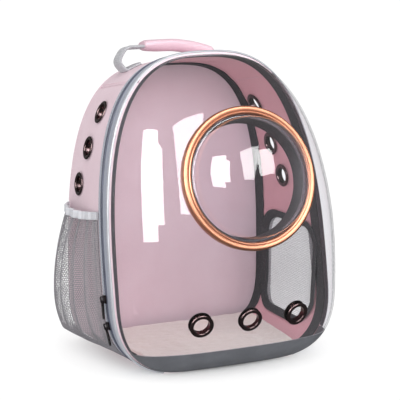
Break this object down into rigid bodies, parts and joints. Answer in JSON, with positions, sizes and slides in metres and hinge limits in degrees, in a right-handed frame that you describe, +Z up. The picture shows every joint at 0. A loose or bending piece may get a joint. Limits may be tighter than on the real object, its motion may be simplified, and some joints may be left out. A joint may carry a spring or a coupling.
{
  "type": "pet carrier backpack",
  "caption": "Pet carrier backpack: rounded soft-sided box with a bowed clear front, a domed bubble window in a metal ring, vent eyelets, a mesh pocket, a floor mat and a top handle.",
  "frame": {"origin": "middle of the base panel's underside, on the floor", "axes": "+Z up; the clear front faces -Y; +X is the viewer's right when looking at the front"},
  "size_m": [0.3543, 0.3798, 0.4342],
  "materials": {
    "leather_pink": "smooth pink coated fabric, satin",
    "fabric_grey": "woven grey tape",
    "fabric_navy": "dark woven tape",
    "piping_white": "glossy piping",
    "plastic_charcoal": "satin dark plastic",
    "plastic_clear": "clear, polished",
    "fleece_cream": "short pile",
    "metal_rose": "rose-gold plated, polished",
    "metal_gun": "gunmetal plated",
    "fabric_net": "open net"
  },
  "bodies": {
    "carrier": {"back_panel": "leather_pink", "bottom_panel": "leather_pink", "top_panel": "leather_pink", "side_panel_left": "leather_pink", "side_panel_right": "leather_pink", "back_seam_tape": "fabric_navy", "inner_rim_tape": "fabric_navy", "window_binding": "fabric_navy", "bubble_dome": "plastic_clear", "clear_shell": "plastic_clear", "bubble_ring": "metal_rose", "ring_collar": "plastic_charcoal", "front_lip": "plastic_charcoal", "floor_mat": "fleece_cream", "handle_sleeve": "leather_pink", "handle_webbing": "fabric_grey", "pocket_elastic": "fabric_grey", "pocket_mesh": "fabric_net", "window_mesh": "fabric_net", "rim_piping": "piping_white", "rim_trim": "fabric_grey", "zip_tape": "fabric_grey", "zip_coil": "plastic_charcoal", "shell_eyelet_1": "metal_gun", "shell_eyelet_2": "metal_gun", "shell_eyelet_3": "metal_gun", "side_eyelet_left_1": "metal_gun", "side_eyelet_left_2": "metal_gun", "side_eyelet_left_3": "metal_gun", "side_eyelet_right_1": "metal_gun", "side_eyelet_right_2": "metal_gun", "side_eyelet_right_3": "metal_gun", "strap_buckle_left": "plastic_charcoal", "strap_buckle_right": "plastic_charcoal", "strap_pad_left": "leather_pink", "strap_pad_right": "leather_pink", "strap_webbing_left": "fabric_grey", "strap_webbing_right": "fabric_grey", "zip_slider_upper": "metal_gun", "zip_slider_lower": "metal_gun"},
    "pull_upper": {"zip_pull_upper": "metal_gun"},
    "pull_lower": {"zip_pull_lower": "metal_gun"}
  },
  "joints": [
    {"name": "upper_pull_hinge", "type": "hinge", "parent": "carrier", "child": "pull_upper", "pos_m": [-0.16843, -0.05953, 0.09948], "axis": [0.0442, 0.9824, -0.1814], "range_deg": [0, 160]},
    {"name": "lower_pull_hinge", "type": "hinge", "parent": "carrier", "child": "pull_lower", "pos_m": [-0.16613, -0.06629, 0.06338], "axis": [0.0559, 0.9826, -0.177], "range_deg": [0, 160]}
  ]
}
